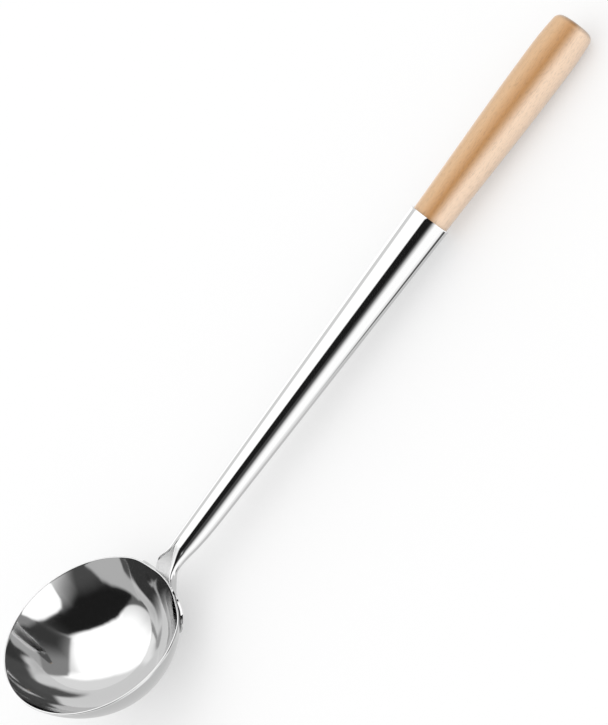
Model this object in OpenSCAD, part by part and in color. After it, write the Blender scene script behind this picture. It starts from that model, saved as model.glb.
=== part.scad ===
// Wok-style soup ladle: a pressed steel bowl, a rolled tapered tube that opens into
// a channel and a fan-shaped tang welded to the bowl's back, and a turned wood grip.
// The ladle lies as on a table: the bowl's round back and the grip's belly touch z = 0,
// +X runs along the handle from the bowl to the butt, and the bowl opens upward.
// Everything is built in the bowl's own frame first (rim plane at z = 0, centre of the
// rim at the origin, handle toward +X), and lay_down() tips it onto the table.

/* [Bowl] */
// Outer diameter of the bowl at the rim
bowl_d = 112; // [90:1:140]
// Depth of the bowl, from the rim plane to the outside of the bottom
bowl_h = 43; // [34:1:52]
// Sheet thickness of the bowl
bowl_wall = 1.2; // [0.8:0.1:2]

/* [Shank] */
// Angle between the shank's axis and the rim plane
handle_angle = 26.8; // [20:0.1:36]
// How far inside the rim the shank's axis would cross the rim plane
axis_inset = 13.1; // [10:0.1:16]
// Distance along the axis from that crossing to the end of the closed tube
throat_at = 33; // [29:0.5:40]
// Length of the closed tube, from the throat to the mouth
tube_l = 239; // [160:1:320]
// Outer diameter of the tube at the throat
throat_d = 15.4; // [13:0.1:18]
// Outer diameter of the tube at the mouth
mouth_d = 25.4; // [21:0.1:30]
// Sheet thickness of the tube, the channel and the tang
tube_wall = 1.2; // [0.8:0.1:1.8]
// Width of the slot where the rolled seam begins to open
seam_gap = 0.8; // [0.4:0.1:2]

/* [Channel and tang] */
// Distance between the feet of the two wings, measured across the rim
foot_w = 24; // [18:0.5:30]
// Depth below the rim at which the underside of the channel meets the wall
land_depth = 12.6; // [9:0.1:15]
// Width of the fan-shaped tang
fan_w = 61; // [48:1:72]
// Depth of the tang's lowest point below the rim, along the wall
fan_depth = 24; // [20:0.5:30]
// Depth below the rim of the tang's widest line
fan_waist = 9; // [6:0.5:12]
// Clearance between the tang and the bowl's wall, filled by solder on the real one
tang_gap = 0.06; // [0.04:0.01:0.2]
// Width of the weld bead along the tang's edge
bead_w = 1.8; // [1:0.1:3]

/* [Grip] */
// Length of the wood that shows beyond the mouth
grip_l = 134; // [90:1:180]
// Diameter of the grip's belly
belly_d = 27; // [22:0.1:34]
// Distance of the belly from the mouth
belly_at = 111; // [60:1:120]
// Diameter of the butt before its edge is rounded
butt_d = 25; // [19:0.1:32]
// Radius of the butt's rounded edge
butt_round = 4.5; // [2:0.1:6]
// Length of the tenon inside the tube
tenon_l = 42; // [25:1:70]
// Radial clearance of the tenon in the tube
tenon_clear = 0.05; // [0.02:0.01:0.2]

/* [Hidden] */

steel = [0.80, 0.80, 0.81];
weld_steel = [0.66, 0.65, 0.64];
wood = [0.90, 0.72, 0.50];

// The bowl is a cap of a ball: ball_r is its outer radius, ball_z its centre's height.
rim_r = bowl_d / 2;
ball_r = (rim_r * rim_r + bowl_h * bowl_h) / (2 * bowl_h);
ball_z = ball_r - bowl_h;
rim_lat = asin(ball_z / ball_r);

// Shank: ax and up are unit vectors along the axis and square to it, in the XZ plane.
ax = [cos(handle_angle), 0, sin(handle_angle)];
up = [-sin(handle_angle), 0, cos(handle_angle)];
side = [0, 1, 0];
start = [rim_r - axis_inset, 0, 0];
taper = (mouth_d - throat_d) / 2 / tube_l;
mouth_at = throat_at + tube_l;
function tube_r(t) = throat_d / 2 + (t - throat_at) * taper;
function bore_r(t) = tube_r(t) - tube_wall;
function on_axis(t) = start + ax * t;

// The grip's radius at its two ends, and past the belly at a distance x from it.
grip_neck_r = bore_r(mouth_at) - tenon_clear;
end_flat_r = butt_d / 2 - butt_round;
butt_at = mouth_at + grip_l;
fall_l = grip_l - butt_round - belly_at;
function fall_r(x) = belly_d / 2 - (belly_d - butt_d) / 2 * pow(x / fall_l, 2);

// Lay-down: the bowl tips until the wood's underside at x past the belly is as low as
// the ball. It touches where its slope is the axis's own, which one more step finds.
function low_point(x) = on_axis(mouth_at + belly_at + x) - up * fall_r(x) - [0, 0, ball_z];
function lie_on(x) =
    let (p = low_point(x))
    atan2(p[2], p[0]) + asin(ball_r / norm(p));
slope_x = fall_l * fall_l * tan(lie_on(0) - handle_angle) / max(belly_d - butt_d, butt_d / 1000);
touch_x = min(max(slope_x, 0), fall_l);
lie = lie_on(touch_x);
far_arc = on_axis(butt_at - butt_round) + up * end_flat_r;
function tip_x(p) = p[0] * cos(lie) + (p[2] - ball_z) * sin(lie);
front_x = tip_x(far_arc) + butt_round;
back_x = -ball_r;
mid_x = (front_x + back_x) / 2;

module lay_down() {
    translate([-mid_x, 0, ball_r])
        rotate([0, lie, 0])
            translate([0, 0, -ball_z])
                children();
}

module along_shank(t) {
    translate(on_axis(t))
        rotate([0, 90 - handle_angle, 0])
            children();
}

// A point on the bowl's wall: az is the angle round from the handle, b the depth below
// the rim along the wall, lift the height above the wall's outer face.
function wall_lat(b) = rim_lat + b / ball_r * 180 / PI;
function on_wall(az, b, lift) =
    let (lat = wall_lat(b), r = ball_r + lift)
    [r * cos(lat) * cos(az), r * cos(lat) * sin(az), ball_z - r * sin(lat)];
function wall_down(az, b) =
    let (lat = wall_lat(b))
    [-sin(lat) * cos(az), -sin(lat) * sin(az), -cos(lat)];

// The sheet below the throat is a fan of ribs. Rib phi starts on the tube at the angle
// phi round from its underside, runs on as a curve that meets the wall without a kink
// on the landing line, and then follows the wall to the tang's outline.
// The sheet's first row sits SEAT inside the tube's wall, SKIN below both its faces,
// and the tube's end plane cuts the sheet midway between its first two rows.
ROWS_CHANNEL = 14;
ROWS_TANG = 6;
COLS = 48;
SEAT = 1;
SKIN = 0.03;
tube_from = throat_at + SEAT / 2;
foot_az = asin(foot_w / 2 / rim_r);
fan_az = asin(fan_w / 2 / rim_r);
foot_b = tube_wall / 2;
seam_phi = 180 - asin(seam_gap / throat_d);
LOBE_SHARE = 2 / 3;

function landing(phi) =
    [foot_az * sin(phi / 2), foot_b + (land_depth - foot_b) * pow(cos(phi / 2), 2)];
function outline(phi) =
    let (turn = phi * LOBE_SHARE)
    [fan_az * sin(turn), fan_waist + (fan_depth - fan_waist) * cos(turn)];

function on_tube(phi, t, inset) =
    on_axis(t) + (tube_r(t) - inset) * (side * sin(phi) - up * cos(phi));

// Lengths of the two handles of a rib's curve, from the underside to the seam.
function swing(phi) = (1 - cos(phi)) / 2;
function leave_l(phi) = throat_at * (0.56 - 0.1 * swing(phi));
function meet_l(phi) = land_depth * (0.4 + 0.36 * swing(phi));
function flare(phi) = phi * (1 - 0.16 * pow(abs(phi) / 180, 2));

function rib(phi, w, inset) =
    let (l = landing(phi),
         lift = tang_gap + tube_wall - inset,
         p0 = on_tube(phi, throat_at, inset),
         p1 = on_tube(flare(phi), throat_at - leave_l(phi), inset),
         p3 = on_wall(l[0], l[1], lift),
         p2 = p3 - meet_l(phi) * wall_down(l[0], l[1]),
         v = 1 - w)
    v * v * v * p0 + 3 * v * v * w * p1 + 3 * v * w * w * p2 + w * w * w * p3;

function tang(phi, w, inset) =
    let (l = landing(phi), o = outline(phi), p = l + (o - l) * w)
    on_wall(p[0], p[1], tang_gap + tube_wall - inset);

function sheet_row(i, phi, inset) =
    i == 0 ? on_tube(phi, throat_at + SEAT, inset)
    : i <= ROWS_CHANNEL ? rib(phi, (i - 1) / (ROWS_CHANNEL - 1), inset)
    : tang(phi, (i - ROWS_CHANNEL) / ROWS_TANG, inset);

// A closed solid between two grids of points of the same size.
module sheet(outer, inner) {
    rows = len(outer);
    cols = len(outer[0]);
    n = rows * cols;
    function at(i, j) = i * cols + j;
    faces = [
        for (i = [0 : rows - 2]) for (j = [0 : cols - 2]) each [
            [at(i, j), at(i, j + 1), at(i + 1, j + 1)],
            [at(i, j), at(i + 1, j + 1), at(i + 1, j)],
            [n + at(i, j), n + at(i + 1, j + 1), n + at(i, j + 1)],
            [n + at(i, j), n + at(i + 1, j), n + at(i + 1, j + 1)]],
        for (j = [0 : cols - 2]) each [
            [at(0, j), n + at(0, j + 1), at(0, j + 1)],
            [at(0, j), n + at(0, j), n + at(0, j + 1)],
            [at(rows - 1, j), at(rows - 1, j + 1), n + at(rows - 1, j + 1)],
            [at(rows - 1, j), n + at(rows - 1, j + 1), n + at(rows - 1, j)]],
        for (i = [0 : rows - 2]) each [
            [at(i, 0), at(i + 1, 0), n + at(i + 1, 0)],
            [at(i, 0), n + at(i + 1, 0), n + at(i, 0)],
            [at(i, cols - 1), n + at(i + 1, cols - 1), at(i + 1, cols - 1)],
            [at(i, cols - 1), n + at(i, cols - 1), n + at(i + 1, cols - 1)]]];
    polyhedron([for (r = outer) each r, for (r = inner) each r], faces);
}

module bowl() {
    color(steel)
        lay_down()
            rotate_extrude($fn = 180)
                intersection() {
                    translate([0, ball_z])
                        difference() {
                            circle(r = ball_r, $fn = 240);
                            circle(r = ball_r - bowl_wall, $fn = 240);
                        }
                    translate([0, -2 * ball_r])
                        square([2 * ball_r, 2 * ball_r]);
                }
}

module shank() {
    phis = [for (j = [0 : COLS]) -seam_phi + 2 * seam_phi * j / COLS];
    rows = [for (i = [0 : ROWS_CHANNEL + ROWS_TANG]) i];
    color(steel)
        lay_down()
            union() {
                along_shank(tube_from)
                    difference() {
                        cylinder(h = mouth_at - tube_from, r1 = tube_r(tube_from),
                                 r2 = tube_r(mouth_at), $fn = 96);
                        translate([0, 0, -tube_l])
                            cylinder(h = 3 * tube_l, r1 = bore_r(tube_from - tube_l),
                                     r2 = bore_r(tube_from + 2 * tube_l), $fn = 96);
                    }
                sheet([for (i = rows) [for (p = phis) sheet_row(i, p, SKIN)]],
                      [for (i = rows) [for (p = phis) sheet_row(i, p, tube_wall - SKIN)]]);
            }
}

// Half outline of the grip: a slow swell from the mouth to the belly, a short fall to
// the butt, and the rounded edge.
SWELL_STEPS = 14;
FALL_STEPS = 4;
ROUND_STEPS = 6;
function swell_r(x) =
    grip_neck_r + (belly_d / 2 - grip_neck_r) * pow(sin(90 * x / belly_at), 1.3);

module grip() {
    tenon = [for (t = [-tenon_l, 0]) [bore_r(mouth_at + t) - tenon_clear, t]];
    swell = [for (i = [1 : SWELL_STEPS]) let (x = belly_at * i / SWELL_STEPS) [swell_r(x), x]];
    fall = [for (i = [1 : FALL_STEPS]) let (x = fall_l * i / FALL_STEPS) [fall_r(x), belly_at + x]];
    edge = [for (i = [1 : ROUND_STEPS]) let (a = 90 * i / ROUND_STEPS)
        [end_flat_r + butt_round * cos(a), grip_l - butt_round + butt_round * sin(a)]];
    color(wood)
        lay_down()
            along_shank(mouth_at)
                rotate_extrude($fn = 96)
                    polygon(concat([[0, -tenon_l]], tenon, swell, fall, edge, [[0, grip_l]]));
}

// The bead fills the step between the tang's edge and the wall, from lobe to lobe.
BEAD_STEPS = 60;
BEAD_ANGLE = 165;
bead_rise = tube_wall * 0.9;
function bead_ring(phi) =
    let (o = outline(phi),
         turn = phi * LOBE_SHARE,
         across = ball_r * cos(wall_lat(o[1])) * PI / 180,
         out = [sin(turn) * (fan_depth - fan_waist), cos(turn) * fan_az * across],
         u = out / norm(out))
    [for (q = [[0, tang_gap], [1, tang_gap], [0.8, bead_rise * 0.55], [0.45, bead_rise * 0.9],
               [0, bead_rise]])
        let (d = tang_gap + q[0] * (bead_w - tang_gap))
        on_wall(o[0] + u[0] * d / across, o[1] + u[1] * d, q[1])];

module weld_bead() {
    rings = [for (k = [0 : BEAD_STEPS]) bead_ring(BEAD_ANGLE * (2 * k / BEAD_STEPS - 1))];
    m = len(rings[0]);
    sides = [
        for (k = [0 : BEAD_STEPS - 1]) for (i = [0 : m - 1])
            let (a = k * m + i, b = k * m + (i + 1) % m)
            each [[a, b, b + m], [a, b + m, a + m]]];
    caps = [[for (i = [m - 1 : -1 : 0]) i], [for (i = [0 : m - 1]) BEAD_STEPS * m + i]];
    color(weld_steel)
        lay_down()
            polyhedron([for (r = rings) each r], concat(sides, caps));
}

bowl();
shank();
grip();
weld_bead();
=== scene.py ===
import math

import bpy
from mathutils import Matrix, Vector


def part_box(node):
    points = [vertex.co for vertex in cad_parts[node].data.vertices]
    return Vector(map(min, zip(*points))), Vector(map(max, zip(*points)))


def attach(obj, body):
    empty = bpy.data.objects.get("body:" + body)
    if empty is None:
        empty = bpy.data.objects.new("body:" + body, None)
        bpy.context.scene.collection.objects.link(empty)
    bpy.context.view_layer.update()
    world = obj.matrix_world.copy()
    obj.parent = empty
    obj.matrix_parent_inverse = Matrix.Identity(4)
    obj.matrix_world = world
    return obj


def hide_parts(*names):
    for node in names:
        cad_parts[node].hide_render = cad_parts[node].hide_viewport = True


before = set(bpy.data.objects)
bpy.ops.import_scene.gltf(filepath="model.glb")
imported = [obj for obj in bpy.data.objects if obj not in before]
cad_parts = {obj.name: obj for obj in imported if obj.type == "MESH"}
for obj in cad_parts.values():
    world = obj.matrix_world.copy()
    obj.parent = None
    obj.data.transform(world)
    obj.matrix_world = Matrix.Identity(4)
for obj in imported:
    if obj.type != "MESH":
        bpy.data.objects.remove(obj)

# %% [markdown]
# # A wok-style soup ladle
# The ladle is four real pieces: a pressed steel bowl, a shank rolled from one sheet, a
# turned wood grip and the weld metal that joins shank and bowl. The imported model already
# holds their solids at the right place. This lesson dresses them: it models each sheet
# again with a finer mesh, so that mirror-polished steel reflects without facets, and
# gives each piece its finish.

MM = 0.001
FULL_TURN = 360
MERGE = 0.001 * MM
SMOOTH_UP_TO = math.radians(35)
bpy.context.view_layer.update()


def deselect_all():
    """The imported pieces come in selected, so each step starts with nothing selected."""
    if bpy.context.mode != "OBJECT":
        bpy.ops.object.mode_set(mode="OBJECT")
    bpy.ops.object.select_all(action="DESELECT")


def take(piece):
    """Makes one piece the only selected and active one."""
    deselect_all()
    piece.select_set(True)
    bpy.context.view_layer.objects.active = piece


def new_piece(name, points, edges=(), faces=()):
    """Makes a mesh of points, edges and faces, and puts it in the scene."""
    mesh = bpy.data.meshes.new(name)
    mesh.from_pydata(points, edges, faces)
    piece = bpy.data.objects.new(name, mesh)
    bpy.context.scene.collection.objects.link(piece)
    return piece


def edit(piece, *steps):
    """Runs each step on the piece's whole mesh in edit mode."""
    take(piece)
    bpy.ops.object.mode_set(mode="EDIT")
    for step in steps:
        bpy.ops.mesh.select_all(action="SELECT")
        step()
    bpy.ops.object.mode_set(mode="OBJECT")


def merge_doubles():
    """Joins points that lie in one place."""
    bpy.ops.mesh.remove_doubles(threshold=MERGE)


def turn_outward():
    """Makes all faces look out of a closed mesh."""
    bpy.ops.mesh.normals_make_consistent(inside=False)


def use_modifier(piece, kind, **settings):
    """Adds a modifier, sets it and applies it to the mesh."""
    take(piece)
    modifier = piece.modifiers.new(kind.lower(), kind)
    for name, value in settings.items():
        setattr(modifier, name, value)
    bpy.ops.object.modifier_apply(modifier=modifier.name)


def count(piece):
    """Says how big a finished mesh is."""
    mesh = piece.data
    print(f"{piece.name}: {len(mesh.vertices)} points, {len(mesh.polygons)} faces")


# %% [markdown]
# ## Where things are
# The pieces are easiest to model in the bowl's own frame, with the rim in the plane
# z = 0 and the handle rising toward +X. The ladle then tips over until it lies on the
# bowl's round back and on the belly of the grip. These are the same driving sizes as the
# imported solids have, in metres.

# %% sizes of the ladle and the way it lies
BOWL_D = 112 * MM
BOWL_H = 43 * MM
SHEET = 1.2 * MM
HANDLE_ANGLE = math.radians(26.8)
AXIS_INSET = 13.1 * MM
THROAT_AT = 33 * MM
TUBE_L = 239 * MM
THROAT_D = 15.4 * MM
MOUTH_D = 25.4 * MM
GRIP_L = 134 * MM
BELLY_D = 27 * MM
BELLY_AT = 111 * MM
BUTT_D = 25 * MM
BUTT_ROUND = 4.5 * MM

RIM_R = BOWL_D / 2
BALL_R = (RIM_R ** 2 + BOWL_H ** 2) / (2 * BOWL_H)
BALL_Z = BALL_R - BOWL_H
MOUTH_AT = THROAT_AT + TUBE_L
BUTT_AT = MOUTH_AT + GRIP_L

AXIS = Vector((math.cos(HANDLE_ANGLE), 0, math.sin(HANDLE_ANGLE)))
UP = Vector((-math.sin(HANDLE_ANGLE), 0, math.cos(HANDLE_ANGLE)))
SIDE = Vector((0, 1, 0))
START = Vector((RIM_R - AXIS_INSET, 0, 0))


def on_axis(t):
    """A point on the shank's axis, t from where it crosses the rim's plane."""
    return START + AXIS * t


butt_flat_r = BUTT_D / 2 - BUTT_ROUND
fall_l = GRIP_L - BUTT_ROUND - BELLY_AT


def fall_r(x):
    """The grip's radius past the belly, at x from it."""
    return BELLY_D / 2 - (BELLY_D - BUTT_D) / 2 * (x / fall_l) ** 2


def lie_on(x):
    """The bowl's tip when the grip touches the table at x past the belly."""
    low = on_axis(MOUTH_AT + BELLY_AT + x) - UP * fall_r(x) - Vector((0, 0, BALL_Z))
    return math.atan2(low.z, low.x) + math.asin(BALL_R / low.length)


touch_x = fall_l ** 2 * math.tan(lie_on(0) - HANDLE_ANGLE) / (BELLY_D - BUTT_D)
lie = lie_on(touch_x)
high_arc = on_axis(BUTT_AT - BUTT_ROUND) + UP * butt_flat_r - Vector((0, 0, BALL_Z))
front_x = high_arc.x * math.cos(lie) + high_arc.z * math.sin(lie) + BUTT_ROUND
mid_x = (front_x - BALL_R) / 2
LAY = (Matrix.Translation((-mid_x, 0, BALL_R))
       @ Matrix.Rotation(lie, 4, "Y")
       @ Matrix.Translation((0, 0, -BALL_Z)))
print("the bowl's rim tips by", round(math.degrees(lie), 2), "degrees")


def settle(piece, node, smooth=SMOOTH_UP_TO):
    """Smooths a finished mesh, lays it in its node's place and hands it to the frame."""
    take(piece)
    bpy.ops.object.shade_smooth_by_angle(angle=smooth)
    piece.data.transform(LAY)
    piece.data.update()
    low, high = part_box(node)
    ours = [vertex.co for vertex in piece.data.vertices]
    over = max(max(low[k] - min(p[k] for p in ours), max(p[k] for p in ours) - high[k])
               for k in range(3))
    print(f"{piece.name}: reaches {over / MM:.3f} mm past the {node} solid's box")
    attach(piece, "root")
    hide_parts(node)
    count(piece)


# %% [markdown]
# ## Camera
# The photograph looks down on the ladle from its side, with a long lens, so that the
# handle runs up to the right. The place and turn below were fitted to the rim's ellipse
# and to the straight handle.

# %% the camera
CAMERA_PLACE = Vector((166.6, -707.0, 676.0)) * MM
CAMERA_TURN = (27.026, 41.777, -39.756)
CAMERA_LENS = 84.41
CAMERA_SENSOR = 36

camera = bpy.data.objects.new("camera", bpy.data.cameras.new("camera"))
bpy.context.scene.collection.objects.link(camera)
camera.location = CAMERA_PLACE
camera.rotation_euler = [math.radians(turn) for turn in CAMERA_TURN]
camera.data.lens = CAMERA_LENS
camera.data.sensor_width = CAMERA_SENSOR
bpy.context.scene.camera = camera
bpy.context.scene.view_settings.view_transform = "Standard"
print("camera at", [round(c, 3) for c in camera.location])

# %% [markdown]
# ## The bowl
# The real bowl is pressed from a round blank and then polished. Its form is a cap of a
# ball. A ball could be cut and given a thickness, but the cut leaves slivers at the rim,
# which show in a mirror finish. So the section is drawn once, the outer arc, the rounded
# rim and the inner arc, and spun round the axis, which gives an even mesh.

# %% a helper that spins a section
def spin(name, section, center, axis, steps):
    """Turns a section, a row of points, round an axis into one closed mesh."""
    piece = new_piece(name, section, [(i, i + 1) for i in range(len(section) - 1)])
    edit(piece,
         lambda: bpy.ops.mesh.spin(steps=steps, angle=math.tau, center=center, axis=axis),
         merge_doubles, turn_outward)
    print(name, "spun from", len(section), "points")
    return piece


def arc(middle, radius, start, end, steps):
    """Points of an arc in the plane of the section, by its angles from straight down."""
    turns = [start + (end - start) * i / steps for i in range(steps + 1)]
    return [middle + Vector((math.sin(a), 0, -math.cos(a))) * radius for a in turns]


# %% the bowl's section
RIM_ROUND_OUT = 0.75 * MM
RIM_ROUND_IN = 0.4 * MM
BOWL_ARC_STEPS = 100
RIM_STEPS = 6
BOWL_STEPS = 240
ball_middle = Vector((0, 0, BALL_Z))


def rim_edge(reach, rounding):
    """The middle of a rounding of the rim's edge, and its angle seen from the ball."""
    drop = BALL_Z + rounding
    across = math.sqrt(reach ** 2 - drop ** 2)
    return Vector((across, 0, -rounding)), math.atan2(across, drop)


outer_edge, outer_end = rim_edge(BALL_R - RIM_ROUND_OUT, RIM_ROUND_OUT)
inner_edge, inner_end = rim_edge(BALL_R - SHEET + RIM_ROUND_IN, RIM_ROUND_IN)
section = arc(ball_middle, BALL_R, 0, outer_end, BOWL_ARC_STEPS)
section += arc(outer_edge, RIM_ROUND_OUT, outer_end, math.pi, RIM_STEPS)[1:]
section += arc(inner_edge, RIM_ROUND_IN, math.pi, inner_end + math.pi, RIM_STEPS)
section += arc(ball_middle, BALL_R - SHEET, inner_end, 0, BOWL_ARC_STEPS)[1:]
section[0].x = section[-1].x = 0
bowl = spin("bowl_shell", section, (0, 0, 0), (0, 0, 1), BOWL_STEPS)

# %% [markdown]
# ### The dent at the neck
# Where the shank crosses the rim, the wall is pressed inward by about two millimetres,
# so that the channel lies flat against it. A smooth push on the points near the neck
# makes it. It is full below the channel and fades to nothing at the sides, by degrees
# round the bowl, and down the wall.

# %% the dent
DENT = 2.1 * MM
DENT_FULL = 16
DENT_END = 40
DENT_TOP = 4 * MM
DENT_DEEP = 26 * MM


def fade(value, full, end):
    """1 up to full, 0 from end on, and smooth between."""
    share = min(max((value - full) / (end - full), 0), 1)
    return 1 - share * share * (3 - 2 * share)


def dent_at(point):
    """How far a point is pushed toward the bowl's middle."""
    turn = math.degrees(math.atan2(abs(point.y), point.x))
    return DENT * fade(turn, DENT_FULL, DENT_END) * fade(-point.z, DENT_TOP, DENT_DEEP)


def push_in(piece, amount):
    """Moves each point level toward the bowl's axis by amount(point)."""
    for vertex in piece.data.vertices:
        point = vertex.co
        push = amount(point)
        if push > 0:
            flat = Vector((point.x, point.y, 0)).normalized()
            vertex.co = point - flat * push


push_in(bowl, dent_at)
print("the wall is pushed in at the neck, mm:", DENT / MM)

# %% [markdown]
# ### The pressed form
# A pressed wall is never quite a ball. On this ladle the far wall is drawn flatter than
# the near one, by up to three millimetres half way up, which is hard to see by itself but
# moves every reflection in the polished bowl. A push toward the ball's middle gives it:
# nothing at the bottom and at the rim, and most between, with its own share for the wall
# as a whole, along the handle, across it and skewed.

# %% the push that presses the wall
WALL_FLAT = 3.2 * MM
WALL_FLAT_HIGHER = 3.9 * MM
WALL_FULL_AT_LIP = 3.5 * MM
FULL_TO_HANDLE = 1.7 * MM
FLAT_ACROSS = 6.0 * MM
FLAT_SKEW = 1.2 * MM
rim_polar = math.acos(BALL_Z / BALL_R)


def press_at(point):
    """How far a point of the wall is pressed toward the ball's middle."""
    arm = point - ball_middle
    if arm.z >= 0:
        return 0
    share = (math.acos(-arm.z / arm.length) / rim_polar) ** 2
    turn = math.atan2(arm.y, arm.x)
    size = (WALL_FLAT + WALL_FLAT_HIGHER * share - WALL_FULL_AT_LIP * share ** 3
            - FULL_TO_HANDLE * math.cos(turn) + FLAT_ACROSS * math.sin(turn)
            + FLAT_SKEW * math.sin(2 * turn))
    return size * share * max(1 - share, 0)


def press(piece):
    """Moves each point of a piece toward the ball's middle by press_at."""
    for vertex in piece.data.vertices:
        arm = vertex.co - ball_middle
        vertex.co = vertex.co - arm.normalized() * press_at(vertex.co)


pressed = [press_at(vertex.co) / MM for vertex in bowl.data.vertices]
print(f"the wall is pressed in by {min(pressed):.2f} to {max(pressed):.2f} mm")
press(bowl)
settle(bowl, "bowl")

# %% [markdown]
# ## The shank
# One sheet makes the whole shank. It is rolled into a tapered tube, and below the throat
# its seam stays open: the sheet spreads into a channel that crosses the rim, turns down
# and follows the bowl's back as a fan-shaped tang. No primitive is near this form, so
# the sheet's outer face is woven from ribs that run from the mouth to the tang's edge.
# The two wings of the channel differ, as bent by hand, so each side has its own values.
# Solidify then gives the sheet its thickness and a bevel rounds its cut edges.

# %% ribs of the sheet
LAND_DEPTH = 12.6 * MM
FAN_W = 61 * MM
FAN_DEPTH = 24 * MM
FAN_WAIST = 9 * MM
FOOT_B = SHEET / 2
TANG_GAP = 0.06 * MM
SEAM_GAP = 0.8 * MM
SEAM_CLOSES = 5 * MM
LOBE_SHARE = 2 / 3
LEAVES_TUBE = 0.66
LANDS_FROM = 1.3
NEAR_WING = {"foot": 18.5 * MM, "turned_in": 0.46, "leaves_later": -0.43, "lands_higher": -0.44}
FAR_WING = {"foot": 13.3 * MM, "turned_in": 0.23, "leaves_later": -0.12, "lands_higher": -0.32}

TAPER = (MOUTH_D - THROAT_D) / 2 / TUBE_L
RIM_LAT = math.asin(BALL_Z / BALL_R)
fan_az = math.asin(FAN_W / 2 / RIM_R)
open_phi = math.pi - math.asin(SEAM_GAP / THROAT_D)
print("the open sheet wraps round to", round(math.degrees(open_phi), 1), "degrees each way")


def tube_r(t):
    """The tube's outer radius, t along its axis."""
    return THROAT_D / 2 + (t - THROAT_AT) * TAPER


def on_wall(az, depth, lift):
    """A point on the bowl's wall: round by az, depth below the rim along the wall."""
    lat = RIM_LAT + depth / BALL_R
    reach = BALL_R + lift
    return Vector((reach * math.cos(lat) * math.cos(az), reach * math.cos(lat) * math.sin(az),
                   BALL_Z - reach * math.sin(lat)))


def wall_down(az, depth):
    """The direction down the wall at that point."""
    lat = RIM_LAT + depth / BALL_R
    return Vector((-math.sin(lat) * math.cos(az), -math.sin(lat) * math.sin(az), -math.cos(lat)))


def on_tube(phi, t):
    """A point on the tube, phi round from its underside."""
    return on_axis(t) + (SIDE * math.sin(phi) - UP * math.cos(phi)) * tube_r(t)


def wing(phi):
    """The values of the wing that rib phi is on; the near side has the angles below 0."""
    return NEAR_WING if phi < 0 else FAR_WING


def landing(phi):
    """Where rib phi meets the wall."""
    foot_az = math.asin(wing(phi)["foot"] / RIM_R)
    return foot_az * math.sin(phi / 2), FOOT_B + (LAND_DEPTH - FOOT_B) * math.cos(phi / 2) ** 2


def outline(phi):
    """Where rib phi ends, on the tang's edge."""
    turn = phi * LOBE_SHARE
    return fan_az * math.sin(turn), FAN_WAIST + (FAN_DEPTH - FAN_WAIST) * math.cos(turn)


def rib(phi, w):
    """A point of the channel on rib phi, from the throat, w = 0, to the wall, w = 1."""
    swing = (1 - math.cos(phi)) / 2
    bend = wing(phi)
    turned = phi * (1 - bend["turned_in"] * abs(phi) / math.pi)
    az, depth = landing(phi)
    p0 = on_tube(phi, THROAT_AT)
    p1 = on_tube(turned, THROAT_AT * (LEAVES_TUBE + bend["leaves_later"] * swing))
    p3 = on_wall(az, depth, TANG_GAP + SHEET)
    p2 = p3 - wall_down(az, depth) * LAND_DEPTH * (LANDS_FROM + bend["lands_higher"] * swing)
    v = 1 - w
    return p0 * v ** 3 + p1 * 3 * v * v * w + p2 * 3 * v * w * w + p3 * w ** 3


def tang(phi, w):
    """A point of the tang on rib phi, from the landing to the outline."""
    az, depth = landing(phi)
    end_az, end_depth = outline(phi)
    return on_wall(az + (end_az - az) * w, depth + (end_depth - depth) * w, TANG_GAP + SHEET)


# %% the sheet as a grid of ribs and rows
RIBS = 96
TUBE_ROWS = 30
CHANNEL_ROWS = 36
TANG_ROWS = 14
SEAM_ROWS = 6
EDGE_ROW = 1.5 * MM


def seam_phi(t):
    """How far the sheet wraps round at t: the seam is closed above the throat."""
    return open_phi + (math.pi - open_phi) * (1 - fade(t - THROAT_AT, 0, SEAM_CLOSES))


def row_places():
    """The rows from the mouth down, as functions of the rib's angle share."""
    t_rows = [MOUTH_AT, MOUTH_AT - EDGE_ROW]
    t_rows += [MOUTH_AT - EDGE_ROW - (TUBE_L - EDGE_ROW - SEAM_CLOSES) * i / TUBE_ROWS
               for i in range(1, TUBE_ROWS + 1)]
    t_rows += [THROAT_AT + SEAM_CLOSES * (1 - i / SEAM_ROWS) for i in range(1, SEAM_ROWS)]
    rows = [lambda s, t=t: on_tube(s * seam_phi(t), t) for t in t_rows]
    rows += [lambda s, w=i / CHANNEL_ROWS: rib(s * open_phi, w) for i in range(CHANNEL_ROWS + 1)]
    rows += [lambda s, w=i / TANG_ROWS: tang(s * open_phi, w) for i in range(1, TANG_ROWS + 1)]
    return rows


rows = row_places()
shares = [-1 + 2 * j / RIBS for j in range(RIBS + 1)]
points = [place(share) for place in rows for share in shares]
width = len(shares)
quads = [(i * width + j, (i + 1) * width + j, (i + 1) * width + j + 1, i * width + j + 1)
         for i in range(len(rows) - 1) for j in range(width - 1)]
shank = new_piece("shank_sheet", points, faces=quads)
edit(shank, merge_doubles)
count(shank)

# %% [markdown]
# ### Thickness and edges
# Solidify grows the sheet inward, so the outer face stays where the ribs put it. The
# ribs are wound so that their faces look outward; the print below checks it at one face
# of the tube. The inner faces go to a second material slot, because nobody polishes the
# inside of a rolled tube.

# %% the sheet's thickness
CUT_ROUND = 0.25 * MM
CUT_SEGMENTS = 3
CUT_ANGLE = math.radians(40)
OUTER_FACES, INNER_FACES = 0, 1
first = shank.data.polygons[0]
outward = (first.center - on_axis(MOUTH_AT)).dot(first.normal) > 0
print("sheet wound outward:", outward)
for _ in (OUTER_FACES, INNER_FACES):
    shank.data.materials.append(None)
use_modifier(shank, "SOLIDIFY", thickness=SHEET, offset=-1, use_even_offset=True,
             material_offset=INNER_FACES)
use_modifier(shank, "BEVEL", width=CUT_ROUND, segments=CUT_SEGMENTS, limit_method="ANGLE",
             angle_limit=CUT_ANGLE)

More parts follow.
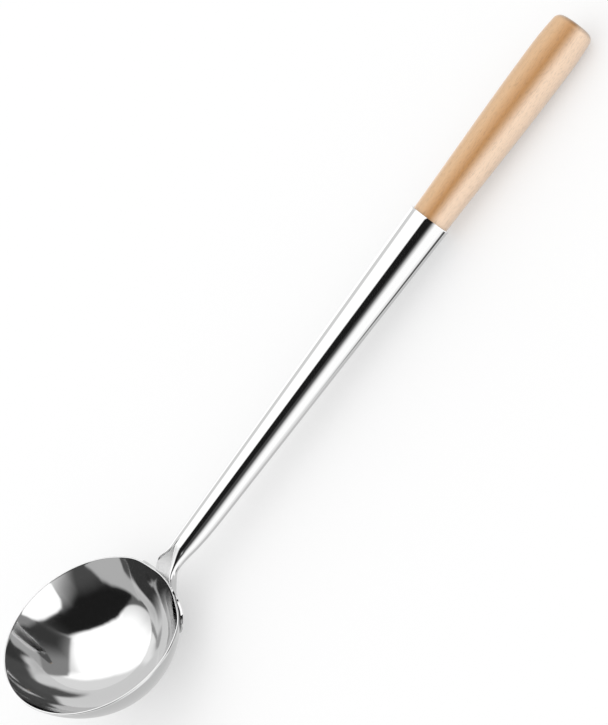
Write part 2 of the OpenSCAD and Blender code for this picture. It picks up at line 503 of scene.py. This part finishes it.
# %% [markdown]
# ### The sheet follows the dent
# The tang and the channel's feet move in with the wall they lie on. The push fades out
# along the neck, so that the tube stays straight. The near side of the neck was also
# squeezed when the sheet was bent over its form: it is up to two and a half millimetres
# slimmer there than a straight tube would be.

# %% the sheet's push and the squeezed neck
SHEET_DENT_END = 30
NECK_FREE = 14 * MM
SQUEEZE = 2.4 * MM
SQUEEZE_AT = 17 * MM
SQUEEZE_UP = 20 * MM
SQUEEZE_DOWN = 11 * MM
SQUEEZE_FROM = -1 * MM
SQUEEZE_FULL = 5 * MM
squeeze_way = (SIDE + UP).normalized()


def sheet_dent_at(point):
    """The wall's push, faded out above the rim and toward the tang's lobes."""
    turn = math.degrees(math.atan2(abs(point.y), point.x))
    below = fade(turn, DENT_FULL, SHEET_DENT_END) * fade(-point.z, DENT_TOP, DENT_DEEP)
    return DENT * below * fade(point.z, 0, NECK_FREE)


def squeeze(piece):
    """Moves the near lower side of the neck up and toward the handle's axis."""
    for vertex in piece.data.vertices:
        arm = vertex.co - START
        along = arm.dot(AXIS) - SQUEEZE_AT
        reach = SQUEEZE_UP if along > 0 else SQUEEZE_DOWN
        across = arm - AXIS * arm.dot(AXIS)
        side = 1 - fade(-across.normalized().dot(squeeze_way), 0, 1)
        above = 1 - fade(vertex.co.z, SQUEEZE_FROM, SQUEEZE_FULL)
        amount = SQUEEZE * math.exp(-(along / reach) ** 2) * side * above
        vertex.co = vertex.co + squeeze_way * amount


push_in(shank, sheet_dent_at)
squeeze(shank)
press(shank)
settle(shank, "shank")

# %% [markdown]
# ## The weld bead
# Filler metal joins the tang's edge to the bowl's back. A weld freezes in small overlapping
# puddles, so its outline is scalloped and its back is ribbed. The bead is a rounded
# section carried along the tang's outline, a little wider and higher at each puddle.

# %% the bead along the tang's edge
BEAD_W = 1.8 * MM
BEAD_RISE = SHEET * 0.9
BEAD_STEPS = 480
BEAD_END = math.radians(165)
BEAD_SIDES = 10
PUDDLES = 64
PUDDLE_DEPTH = 0.12
BEAD_SMOOTH_UP_TO = math.radians(50)


def bead_point(phi, side, swell):
    """A point of the bead's section at rib phi: side runs from the tang out to the wall."""
    az, depth = outline(phi)
    turn = phi * LOBE_SHARE
    across = BALL_R * math.cos(RIM_LAT + depth / BALL_R)
    out = Vector((math.sin(turn) * (FAN_DEPTH - FAN_WAIST), math.cos(turn) * fan_az * across))
    out.normalize()
    reach = TANG_GAP + side * (BEAD_W - TANG_GAP) * swell
    lift = BEAD_RISE * swell * math.sqrt(max(1 - side * side, 0))
    return on_wall(az + out.x * reach / across, depth + out.y * reach, max(lift, TANG_GAP))


bead_points = []
for i in range(BEAD_STEPS + 1):
    phi = BEAD_END * (2 * i / BEAD_STEPS - 1)
    swell = 1 - PUDDLE_DEPTH * math.cos(math.tau * PUDDLES * i / BEAD_STEPS) ** 2
    bead_points.append(bead_point(phi, 0, 0))
    bead_points += [bead_point(phi, math.sin(math.pi / 2 * j / BEAD_SIDES), swell)
                    for j in range(BEAD_SIDES + 1)]
ring = BEAD_SIDES + 2
bead_quads = [(i * ring + j, i * ring + (j + 1) % ring, (i + 1) * ring + (j + 1) % ring,
               (i + 1) * ring + j) for i in range(BEAD_STEPS) for j in range(ring)]
bead_caps = [tuple(range(ring)), tuple(BEAD_STEPS * ring + j for j in range(ring))]
bead = new_piece("weld_metal", bead_points, faces=bead_quads + bead_caps)
edit(bead, turn_outward)
push_in(bead, sheet_dent_at)
press(bead)
settle(bead, "weld_bead", BEAD_SMOOTH_UP_TO)

# %% [markdown]
# ## The grip
# The grip is turned on a lathe from one stick of pale wood: it swells slowly from the
# tube's mouth to a belly, falls a little to the butt, and its edge is rounded. A profile
# spun round the axis is what the lathe does. The tenon runs on inside the tube.

# %% the turned profile
TENON_L = 42 * MM
TENON_CLEAR = 0.05 * MM
GRIP_STEPS = 128
SWELL_POWER = 1.3
SWELL_STEPS = 40
FALL_STEPS = 8
BUTT_STEPS = 12

neck_r = tube_r(MOUTH_AT) - SHEET - TENON_CLEAR


def swell_r(x):
    """The radius between the mouth and the belly."""
    rise = math.sin(math.pi / 2 * x / BELLY_AT) ** SWELL_POWER
    return neck_r + (BELLY_D / 2 - neck_r) * rise


profile = [(0, -TENON_L), (tube_r(MOUTH_AT - TENON_L) - SHEET - TENON_CLEAR, -TENON_L)]
profile += [(neck_r, 0)]
swell_places = [BELLY_AT * i / SWELL_STEPS for i in range(1, SWELL_STEPS + 1)]
profile += [(swell_r(x), x) for x in swell_places]
fall_places = [fall_l * i / FALL_STEPS for i in range(1, FALL_STEPS + 1)]
profile += [(fall_r(x), BELLY_AT + x) for x in fall_places]
for i in range(1, BUTT_STEPS + 1):
    turn = math.pi / 2 * i / BUTT_STEPS
    profile.append((butt_flat_r + BUTT_ROUND * math.cos(turn),
                    GRIP_L - BUTT_ROUND + BUTT_ROUND * math.sin(turn)))
profile.append((0, GRIP_L))

grip = spin("grip_wood", [on_axis(MOUTH_AT + x) + UP * r for r, x in profile],
            on_axis(MOUTH_AT), AXIS, GRIP_STEPS)
settle(grip, "grip")


# %% [markdown]
# ## Materials
# All the detail comes from noise in the pieces' own space. Small helpers keep each
# material short.

# %% helpers for node trees
def new_material(name):
    """A material with its node tree, its Principled shader and its object coordinates."""
    material = bpy.data.materials.new(name)
    material.use_nodes = True
    tree = material.node_tree
    shader = tree.nodes["Principled BSDF"]
    place = tree.nodes.new("ShaderNodeTexCoord")
    return material, tree, shader, place.outputs["Object"]


def add(tree, kind, links=(), **settings):
    """Adds one node, sets its properties or input values, and joins its inputs."""
    node = tree.nodes.new(kind)
    for name, value in settings.items():
        if hasattr(node, name):
            setattr(node, name, value)
        else:
            node.inputs[name.replace("_", " ")].default_value = value
    for socket, source in dict(links).items():
        tree.links.new(source, node.inputs[socket])
    return node


def calc(tree, operation, *values):
    """One step of arithmetic in a node tree; each value is a socket or a number."""
    node = add(tree, "ShaderNodeMath", operation=operation)
    for place, value in enumerate(values):
        if isinstance(value, (int, float)):
            node.inputs[place].default_value = value
        else:
            tree.links.new(value, node.inputs[place])
    return node.outputs["Value"]


def dress(piece, material):
    """Gives a piece one material."""
    piece.data.materials.clear()
    piece.data.materials.append(material)
    print(piece.name, "is dressed in", material.name)


# %% [markdown]
# ### Polished steel
# The steel is buffed nearly to a mirror. Fine lines stay where the wheel ran: round the
# bowl, and along the shank. The lines are a noise that is stretched along the wheel's
# way. They vary the roughness a little and tilt the surface very slightly, so the edges
# of the reflections are drawn out as on real polished sheet. Bowl and tube also keep weak
# waves from the press and the rolls, which let the reflections wander a little.

# %% a group for buffing lines
buffing = bpy.data.node_groups.new("buffing_lines", "ShaderNodeTree")
buffing.interface.new_socket(name="Vector", in_out="INPUT", socket_type="NodeSocketVector")
buffing.interface.new_socket(name="Fineness", in_out="INPUT", socket_type="NodeSocketFloat")
buffing.interface.new_socket(name="Lines", in_out="OUTPUT", socket_type="NodeSocketFloat")
group_in = buffing.nodes.new("NodeGroupInput")
group_out = buffing.nodes.new("NodeGroupOutput")
fine = add(buffing, "ShaderNodeTexNoise",
           {"Vector": group_in.outputs["Vector"], "Scale": group_in.outputs["Fineness"]},
           Detail=4.0, Roughness=0.6)
buffing.links.new(fine.outputs["Fac"], group_out.inputs["Lines"])
print("group for buffing lines:", buffing.name)

# %% a helper that makes a steel
ROUGH_SPREAD = 0.4
WAVES = 80


def steel(name, tone, roughness, line_vector, fineness, line_height, wave_height=0, metallic=1):
    """Polished steel whose buffing lines follow line_vector(tree, object coordinates)."""
    material, tree, shader, place = new_material(name)
    lines = tree.nodes.new("ShaderNodeGroup")
    lines.node_tree = buffing
    lines.inputs["Fineness"].default_value = fineness
    tree.links.new(line_vector(tree, place), lines.inputs["Vector"])
    shader.inputs["Base Color"].default_value = (tone, tone, tone, 1)
    shader.inputs["Metallic"].default_value = metallic
    rough = add(tree, "ShaderNodeMapRange", {"Value": lines.outputs["Lines"]},
                To_Min=roughness * (1 - ROUGH_SPREAD), To_Max=roughness * (1 + ROUGH_SPREAD))
    tree.links.new(rough.outputs["Result"], shader.inputs["Roughness"])
    bump = add(tree, "ShaderNodeBump", {"Height": lines.outputs["Lines"]},
               Strength=1, Distance=line_height)
    if wave_height:
        waves = add(tree, "ShaderNodeTexNoise", {"Vector": place}, Scale=WAVES, Detail=1.0)
        swell = add(tree, "ShaderNodeBump", {"Height": waves.outputs["Fac"]},
                    Strength=1, Distance=wave_height)
        tree.links.new(swell.outputs["Normal"], bump.inputs["Normal"])
    tree.links.new(bump.outputs["Normal"], shader.inputs["Normal"])
    print(name, "takes", len(tree.nodes), "nodes")
    return material


# %% coordinates for the lines
RING_STRETCH = 0.004
SHANK_STRETCH = 50


def round_the_bowl(tree, place):
    """Coordinates in which a stretched noise runs in rings round the bowl's axis."""
    upright = add(tree, "ShaderNodeMapping", {"Vector": place}, vector_type="POINT")
    ball = LAY @ Vector((0, 0, BALL_Z))
    back = LAY.to_3x3().inverted()
    upright.inputs["Rotation"].default_value = back.to_euler()
    upright.inputs["Location"].default_value = -(back @ ball)
    apart = add(tree, "ShaderNodeSeparateXYZ", {"Vector": upright.outputs["Vector"]})
    squares = add(tree, "ShaderNodeVectorMath", {0: upright.outputs["Vector"]},
                  operation="MULTIPLY")
    squares.inputs[1].default_value = (1, 1, 0)
    reach = add(tree, "ShaderNodeVectorMath", {0: squares.outputs["Vector"]},
                operation="LENGTH")
    turn = calc(tree, "ARCTAN2", apart.outputs["Y"], apart.outputs["X"])
    together = add(tree, "ShaderNodeCombineXYZ",
                   {"X": reach.outputs["Value"], "Y": calc(tree, "MULTIPLY", turn, RING_STRETCH),
                    "Z": apart.outputs["Z"]})
    return together.outputs["Vector"]


def handle_frame(tree, place, stretch):
    """Coordinates along and across the handle's axis, from the mouth, drawn out along it."""
    turned = add(tree, "ShaderNodeMapping", {"Vector": place}, vector_type="TEXTURE",
                 Location=LAY @ on_axis(MOUTH_AT), Rotation=(0, lie - HANDLE_ANGLE, 0),
                 Scale=(stretch, 1, 1))
    return turned.outputs["Vector"]


def along_the_shank(tree, place):
    """Coordinates in which a stretched noise runs along the tube."""
    return handle_frame(tree, place, SHANK_STRETCH)


print("lines round the rim are drawn out", round(RIM_R / RING_STRETCH), "times")

# %% the steels
bowl_steel = steel("bowl_steel", tone=0.70, roughness=0.06, line_vector=round_the_bowl,
                   fineness=1800, line_height=0.0005 * MM, wave_height=0.03 * MM)
shank_steel = steel("shank_steel", tone=0.70, roughness=0.06, line_vector=along_the_shank,
                    fineness=1200, line_height=0.0003 * MM, wave_height=0.01 * MM)
weld_steel = steel("weld_steel", tone=0.42, roughness=0.35, line_vector=along_the_shank,
                   fineness=600, line_height=0.02 * MM)
inner_steel = steel("inner_steel", tone=0.85, roughness=0.5, line_vector=along_the_shank,
                    fineness=1200, line_height=0.0003 * MM, metallic=0.15)
dress(bowl, bowl_steel)
shank.data.materials[OUTER_FACES] = shank_steel
shank.data.materials[INNER_FACES] = inner_steel
dress(bead, weld_steel)
steels = (bowl_steel, shank_steel, weld_steel, inner_steel)
print("steel materials:", [material.name for material in steels])

# %% [markdown]
# ### Turned wood
# The grip is a pale close-grained hardwood under a satin varnish. Its colour is painted
# round the grip by the way each side faces as the ladle lies: a darker tan band high on the
# near side is partly the wood's tan and partly painted shade from the dark room, and the almost
# cream side toward the table is partly pale wood and partly painted light. Over that lie weak
# bands, and short fine pores. The noise is stretched along the grip, much less for the pores
# than for the bands. The last few millimetres at the butt are painted darker, as shade on the
# end's edge.

# %% the colour round the grip, with painted shade and painted light
BAND_DRIFT = 0.012
BAND_STRETCH = 16
# HONEY is the wood's own tone; the darker tan band and the cream side also carry painted shade
# and painted light, by the way each side of the grip faces
HONEY = (0.62, 0.38, 0.19)
TAN_AND_PAINTED_SHADE = (0.50, 0.24, 0.07)
CREAM_AND_PAINTED_LIGHT = (0.93, 0.69, 0.50)
WOOD_AND_PAINTED_LIGHT_ROUND = [(1, HONEY), (38, TAN_AND_PAINTED_SHADE), (74, CREAM_AND_PAINTED_LIGHT), (200, CREAM_AND_PAINTED_LIGHT), (300, HONEY)]
wood, tree, shader, place = new_material("grip_wood")
across = add(tree, "ShaderNodeSeparateXYZ", {"Vector": handle_frame(tree, place, 1)})
near_side = calc(tree, "MULTIPLY", across.outputs["Y"], -1)
turn = calc(tree, "ARCTAN2", near_side, across.outputs["Z"])
bands = add(tree, "ShaderNodeTexNoise", {"Vector": handle_frame(tree, place, BAND_STRETCH)},
            Scale=130.0, Detail=3.0, Roughness=0.55, Distortion=0.4)
drift = add(tree, "ShaderNodeMapRange", {"Value": bands.outputs["Fac"]},
            To_Min=-BAND_DRIFT, To_Max=BAND_DRIFT)
share = calc(tree, "MULTIPLY_ADD", turn, 1 / math.tau, drift.outputs["Result"])
ramp = add(tree, "ShaderNodeValToRGB", {"Fac": calc(tree, "FLOORED_MODULO", share, 1)})
ramp.color_ramp.interpolation = "EASE"
for degrees, color in WOOD_AND_PAINTED_LIGHT_ROUND:
    stop = ramp.color_ramp.elements.new(degrees / FULL_TURN)
    stop.color = (*color, 1)
for end in (ramp.color_ramp.elements[0], ramp.color_ramp.elements[-1]):
    end.color = (*HONEY, 1)
print("colours round the grip:", len(ramp.color_ramp.elements))

# %% pores, painted shade at the butt and varnish
PORE_STRETCH = 5
PORE_DARK = 0.82
PORE_DEPTH = 0.03 * MM
BUTT_PAINTED_SHADE = 0.55
BUTT_PAINTED_SHADE_LENGTH = 3 * MM
pores = add(tree, "ShaderNodeTexNoise", {"Vector": handle_frame(tree, place, PORE_STRETCH)},
            Scale=1500.0, Detail=3.0, Roughness=0.7)
fleck = add(tree, "ShaderNodeMapRange", {"Value": pores.outputs["Fac"]},
            From_Min=0.35, From_Max=0.5, To_Min=PORE_DARK, To_Max=1.0)
# painted shade: the last millimetres at the butt are darker, as shade on the end's edge
butt_painted_shade = add(tree, "ShaderNodeMapRange", {"Value": across.outputs["X"]},
                interpolation_type="SMOOTHSTEP", From_Min=GRIP_L - BUTT_PAINTED_SHADE_LENGTH,
                From_Max=GRIP_L, To_Min=1.0, To_Max=BUTT_PAINTED_SHADE)
darker = calc(tree, "MULTIPLY", fleck.outputs["Result"], butt_painted_shade.outputs["Result"])
tint = add(tree, "ShaderNodeVectorMath", {0: ramp.outputs["Color"], "Scale": darker},
           operation="SCALE")
tree.links.new(tint.outputs["Vector"], shader.inputs["Base Color"])
shader.inputs["Roughness"].default_value = 0.42
shader.inputs["Coat Weight"].default_value = 0.8
shader.inputs["Coat Roughness"].default_value = 0.3
bump = add(tree, "ShaderNodeBump", {"Height": pores.outputs["Fac"]},
           Strength=0.5, Distance=PORE_DEPTH)
tree.links.new(bump.outputs["Normal"], shader.inputs["Normal"])
dress(grip, wood)
print("wood material:", wood.name)

# %% [markdown]
# ## Studio
# The photograph was lit by a white tent above and behind the ladle. The dark room on the
# camera's side shows as the black band down the tube and across the bowl, and the pale
# table shows in everything that looks down. Lights and walls this far away only matter by
# their direction, so the world holds them as a map: each panel is a polygon on it, given
# by its corners' compass angle, from +Y toward +X, and height above the horizon. Only
# reflections see the panels. Soft light on the wood and the floor comes from a plain
# pale world, and the camera sees white.

# %% the map of the sky
world = bpy.data.worlds.new("studio")
bpy.context.scene.world = world
world.use_nodes = True
sky = world.node_tree
sky.nodes.clear()
look = sky.nodes.new("ShaderNodeTexCoord").outputs["Generated"]
way = add(sky, "ShaderNodeSeparateXYZ", {"Vector": look})
height = calc(sky, "MULTIPLY", calc(sky, "ARCSINE", way.outputs["Z"]), math.degrees(1))
compass = calc(sky, "MULTIPLY", calc(sky, "ARCTAN2", way.outputs["X"], way.outputs["Y"]),
               math.degrees(1))
full_compass = calc(sky, "FLOORED_MODULO", compass, FULL_TURN)


def map_of(turn):
    """A flat map: compass angle, height and a constant 1 to add offsets with."""
    flat = add(sky, "ShaderNodeCombineXYZ", {"X": turn, "Y": height}, Z=1)
    return flat.outputs["Vector"]


far_map = map_of(compass)
near_map = map_of(full_compass)
print("nodes that work out the direction:", len(sky.nodes))

# %% [markdown]
# A panel is a polygon without dents. The dot product with one edge's inward direction
# says how far inside that edge a point of the map lies, and the least of these over all
# edges says how far inside the panel. The compass jumps from 180 to -180 degrees, so a
# panel near that jump is drawn on the map that runs from 0 to 360 instead.
#
# The world gets a ray that the ladle reflected once with a Ray Depth of 2, and with 3 or
# more after more reflections. So a panel can be kept for second reflections alone.

# %% how a panel is hung
BEHIND = 130
FIRST_REFLECTION = 2
path = sky.nodes.new("ShaderNodeLightPath")
seen_again = calc(sky, "GREATER_THAN", path.outputs["Ray Depth"], FIRST_REFLECTION + 0.5)


def panel_mask(corners, soft):
    """1 inside a polygon on the map, with an edge that is soft by so many degrees."""
    behind = any(abs(turn) > BEHIND for turn, _ in corners)
    ends = [Vector((turn % FULL_TURN if behind else turn, rise)) for turn, rise in corners]
    middle = sum(ends, Vector((0, 0))) / len(ends)
    nearest = None
    for a, b in zip(ends, ends[1:] + ends[:1]):
        inward = Vector((a.y - b.y, b.x - a.x)).normalized()
        if inward.dot(middle - a) < 0:
            inward = -inward
        inside = add(sky, "ShaderNodeVectorMath", {0: near_map if behind else far_map},
                     operation="DOT_PRODUCT")
        inside.inputs[1].default_value = (inward.x, inward.y, -inward.dot(a))
        depth = inside.outputs["Value"]
        nearest = depth if nearest is None else calc(sky, "MINIMUM", nearest, depth)
    edge = add(sky, "ShaderNodeMapRange", {"Value": nearest}, interpolation_type="SMOOTHSTEP",
               From_Min=-soft, From_Max=soft)
    return edge.outputs["Result"]


def hang(under, level, soft, corners, again=False):
    """Hangs a panel before the others; with again, only for second and later reflections."""
    mask = panel_mask(corners, soft)
    if again:
        mask = calc(sky, "MULTIPLY", mask, seen_again)
    mix = add(sky, "ShaderNodeMix", {"Factor": mask}, data_type="RGBA")
    sky.links.new(under, mix.inputs["A"])
    mix.inputs["B"].default_value = (level, level, level, 1)
    return mix.outputs["Result"]


print("second reflections have a Ray Depth above", FIRST_REFLECTION)

# %% [markdown]
# The first two panels only fill directions that the photo doesn't show. The others stand
# where the photo's bowl and tube mirror something.

# %% the panels: name, level, softness of the edge and corners
TENT = 1.5
tent = add(sky, "ShaderNodeRGB")
tent.outputs[0].default_value = (TENT, TENT, TENT, 1)
studio = tent.outputs["Color"]
panels = [
    ("table behind", 0.7, 12, [(-20, -30), (118, -30), (118, -90), (-20, -90)]),
    ("table at the side", 0.7, 12, [(112, -44), (160, -40), (160, -90), (112, -90)]),
    ("grey of the tent", 0.85, 14, [(-120, 62), (-60, 56), (-45, 48), (-50, 30), (-120, 30)]),
    ("tail of the room", 0.16, 1.5, [(-125, 60), (-60, 44.5), (-60, 30), (-125, 30)]),
    ("dark room", 0.013, 3,
     [(129, -5), (130, 22), (137, 33), (145, 46), (155, 55), (165, 61), (180, 65.5),
      (-155, 68), (-142, 67), (-125, 62), (-112, 55), (-104, 49), (-104, 10), (180, -5)]),
    ("grey of the room", 0.085, 4,
     [(172, 22), (-172, 31), (-160, 35), (-148, 37), (-146, 10), (172, 10)]),
    ("wall", 0.58, 1.5,
     [(-155, 29), (-146, 37), (-135, 41), (-120, 43.5), (-108, 45), (-90, 46), (-80, 42),
      (-82, 20), (-155, 20)]),
    ("post", 0.10, 1.2,
     [(-109.5, 31), (-109.5, 35), (-106, 36.3), (-94, 36.3), (-90, 34), (-90, 20),
      (-108, 20)]),
    ("left pale card", 0.88, 3, [(-28, 32), (-22, 43), (-8, 39), (2, 33), (2, 8), (-26, 8)]),
    ("pale card", 0.95, 3,
     [(0, 38), (30, 38), (42, 34), (52, 28), (66, 14), (78, -2), (80, -20), (0, -20)]),
    ("light over the card", 1.0, 6, [(76, 22), (120, 26), (128, 20), (125, 0), (78, 0)]),
    ("grey card", 0.30, 2.5,
     [(74, 9), (80, 14), (94, 18.5), (110, 22), (128, 25), (133, 5), (131, -20), (76, -20)]),
    ("its dark side", 0.05, 12,
     [(106, 14), (118, 18), (131, 22), (140, 0), (134, -30), (106, -30)]),
    ("side table", 0.48, 1.2,
     [(70, -14), (107, -10.5), (111, -11.5), (115, -19), (118, -40), (70, -40)]),
    ("window's dark edge", 0.31, 1.5,
     [(118, -17), (122, -11), (129, -5.5), (134, -6), (134, -40), (118, -40)]),
    ("foot of the room", 0.55, 6,
     [(157, 14), (166, 19.5), (180, 22), (-172, 20), (-163, 11), (-153, -4), (-150, -20),
      (157, -20)]),
    ("white table", 1.42, 10,
     [(160, 8), (180, 11.5), (-170, 7), (-162, -2), (-148, -20), (-128, -45), (-125, -90),
      (160, -90)]),
    # painted shade: the next two panels grade the table down into the painted shadow under the
    # handle
    ("table in the handle's outer painted shade", 1.18, 5, [(-172, -46), (-120, -44), (-110, -90), (-172, -90)]),
    ("table in the handle's painted shade", 0.98, 4, [(-160, -59), (-115, -57), (-110, -90), (-160, -90)]),
    ("window", TENT, 0.9,
     [(128.5, -12), (130, -6.5), (132, -3.2), (137, 1.6), (140, 4), (150, 12), (156, 15.2),
      (162, 15.8), (166, 12), (168, 0), (168, -30), (128.5, -30)]),
    # painted shadow: the table under and beside the bowl, darkened as the bowl's shadow
    ("bowl's painted shadow on the table", 0.68, 6, [(-128, -26), (-40, -18), (-15, -18), (-15, -90), (-128, -90)]),
    ("shadow under the handle", 0.1, 5,
     [(-180, -61), (-157, -62), (-147, -71), (-147, -79), (-155, -82), (-180, -82)]),
]
for name, level, soft, corners in panels:
    studio = hang(studio, level, soft, corners)
print("studio panels hung:", [name for name, *_ in panels])

# %% [markdown]
# The bowl also mirrors itself. A ray that leaves it after two reflections starts from
# another side of the bowl, and the near cards and the camera's dark corner stand
# elsewhere for it, so the second and later reflections get their own panels in front.

# %% the panels for reflections of reflections
panels_again = [
    ("tent", 1.15, 4, [(1, -12), (180, -12), (-1, -12), (-1, 95), (180, 95), (1, 95)]),
    ("bright of the tent", 1.55, 4, [(88, 71), (140, 71), (146, 75), (140, 79), (88, 82)]),
    ("grey overhead", 0.6, 3,
     [(106, 81), (150, 80), (190, 74), (-145, 73), (-145, 95), (106, 95)]),
    ("side wall", 0.92, 4, [(130, 32), (172, 66), (158, 68), (136, 50)]),
    ("line of the tent", 0.5, 1.5,
     [(136, 59), (140, 58), (150, 69), (158, 79), (148, 81), (140, 69)]),
    ("haze of the corner", 0.3, 7,
     [(168, 58), (176, 70), (-145, 71), (-115, 64), (-98, 52), (-98, 20), (168, 20)]),
    ("dark corner", 0.065, 3,
     [(138, 34.5), (170, 60.5), (182, 63.5), (-155, 63.5), (-125, 60), (-108, 53), (-100, 40),
      (-100, 10), (138, 10)]),
    ("corner's foot", 0.12, 3, [(118, 21.5), (143, 38), (143, -20), (118, -20)]),
    ("dark card", 0.12, 3, [(60, 4), (98, 21), (122, 24), (122, -20), (60, -20)]),
    ("peak of the card", 0.14, 3.5, [(96.5, 10), (95, 42), (113, 34), (119, 22), (119, 10)]),
]
for name, level, soft, corners in panels_again:
    studio = hang(studio, level, soft, corners, again=True)
print("panels for second reflections:", [name for name, *_ in panels_again])

# %% what the camera, the reflections and the soft light see
DOME = 1.15
white = add(sky, "ShaderNodeBackground")
white.inputs["Color"].default_value = (1, 1, 1, 1)
dome = add(sky, "ShaderNodeBackground")
dome.inputs["Color"].default_value = (DOME, DOME, DOME, 1)
mirror = add(sky, "ShaderNodeBackground", {"Color": studio})
glossy_or_not = add(sky, "ShaderNodeMixShader", {"Fac": path.outputs["Is Glossy Ray"]})
sky.links.new(dome.outputs[0], glossy_or_not.inputs[1])
sky.links.new(mirror.outputs[0], glossy_or_not.inputs[2])
camera_or_not = add(sky, "ShaderNodeMixShader", {"Fac": path.outputs["Is Camera Ray"]})
sky.links.new(glossy_or_not.outputs[0], camera_or_not.inputs[1])
sky.links.new(white.outputs[0], camera_or_not.inputs[2])
add(sky, "ShaderNodeOutputWorld", {"Surface": camera_or_not.outputs[0]})
print("level of the plain soft light:", DOME)

# %% [markdown]
# ### The floor
# A pale floor carries the ladle's soft shadow. Part of its whiteness is its own light,
# only for the camera, so that it meets the white background without an edge. Polished
# steel would show the floor twice, as the table on the map and as this plane, so the
# plane is left out of reflections.

# %% the floor
FLOOR_W = 1.6
FLOOR_GLOW = 0.37
FLOOR_TONE = 0.55
deselect_all()
bpy.ops.mesh.primitive_plane_add(size=FLOOR_W, location=(0, 0, 0))
floor = bpy.context.object
floor.name = "floor"
floor_white, tree, shader, _ = new_material("floor_white")
shader.inputs["Base Color"].default_value = (FLOOR_TONE, FLOOR_TONE, FLOOR_TONE, 1)
shader.inputs["Roughness"].default_value = 0.9
shader.inputs["Specular IOR Level"].default_value = 0
shader.inputs["Emission Color"].default_value = (1, 1, 1, 1)
seen = tree.nodes.new("ShaderNodeLightPath")
glow = calc(tree, "MULTIPLY", seen.outputs["Is Camera Ray"], FLOOR_GLOW)
tree.links.new(glow, shader.inputs["Emission Strength"])
dress(floor, floor_white)
floor.visible_glossy = False
print("floor, m across:", FLOOR_W)
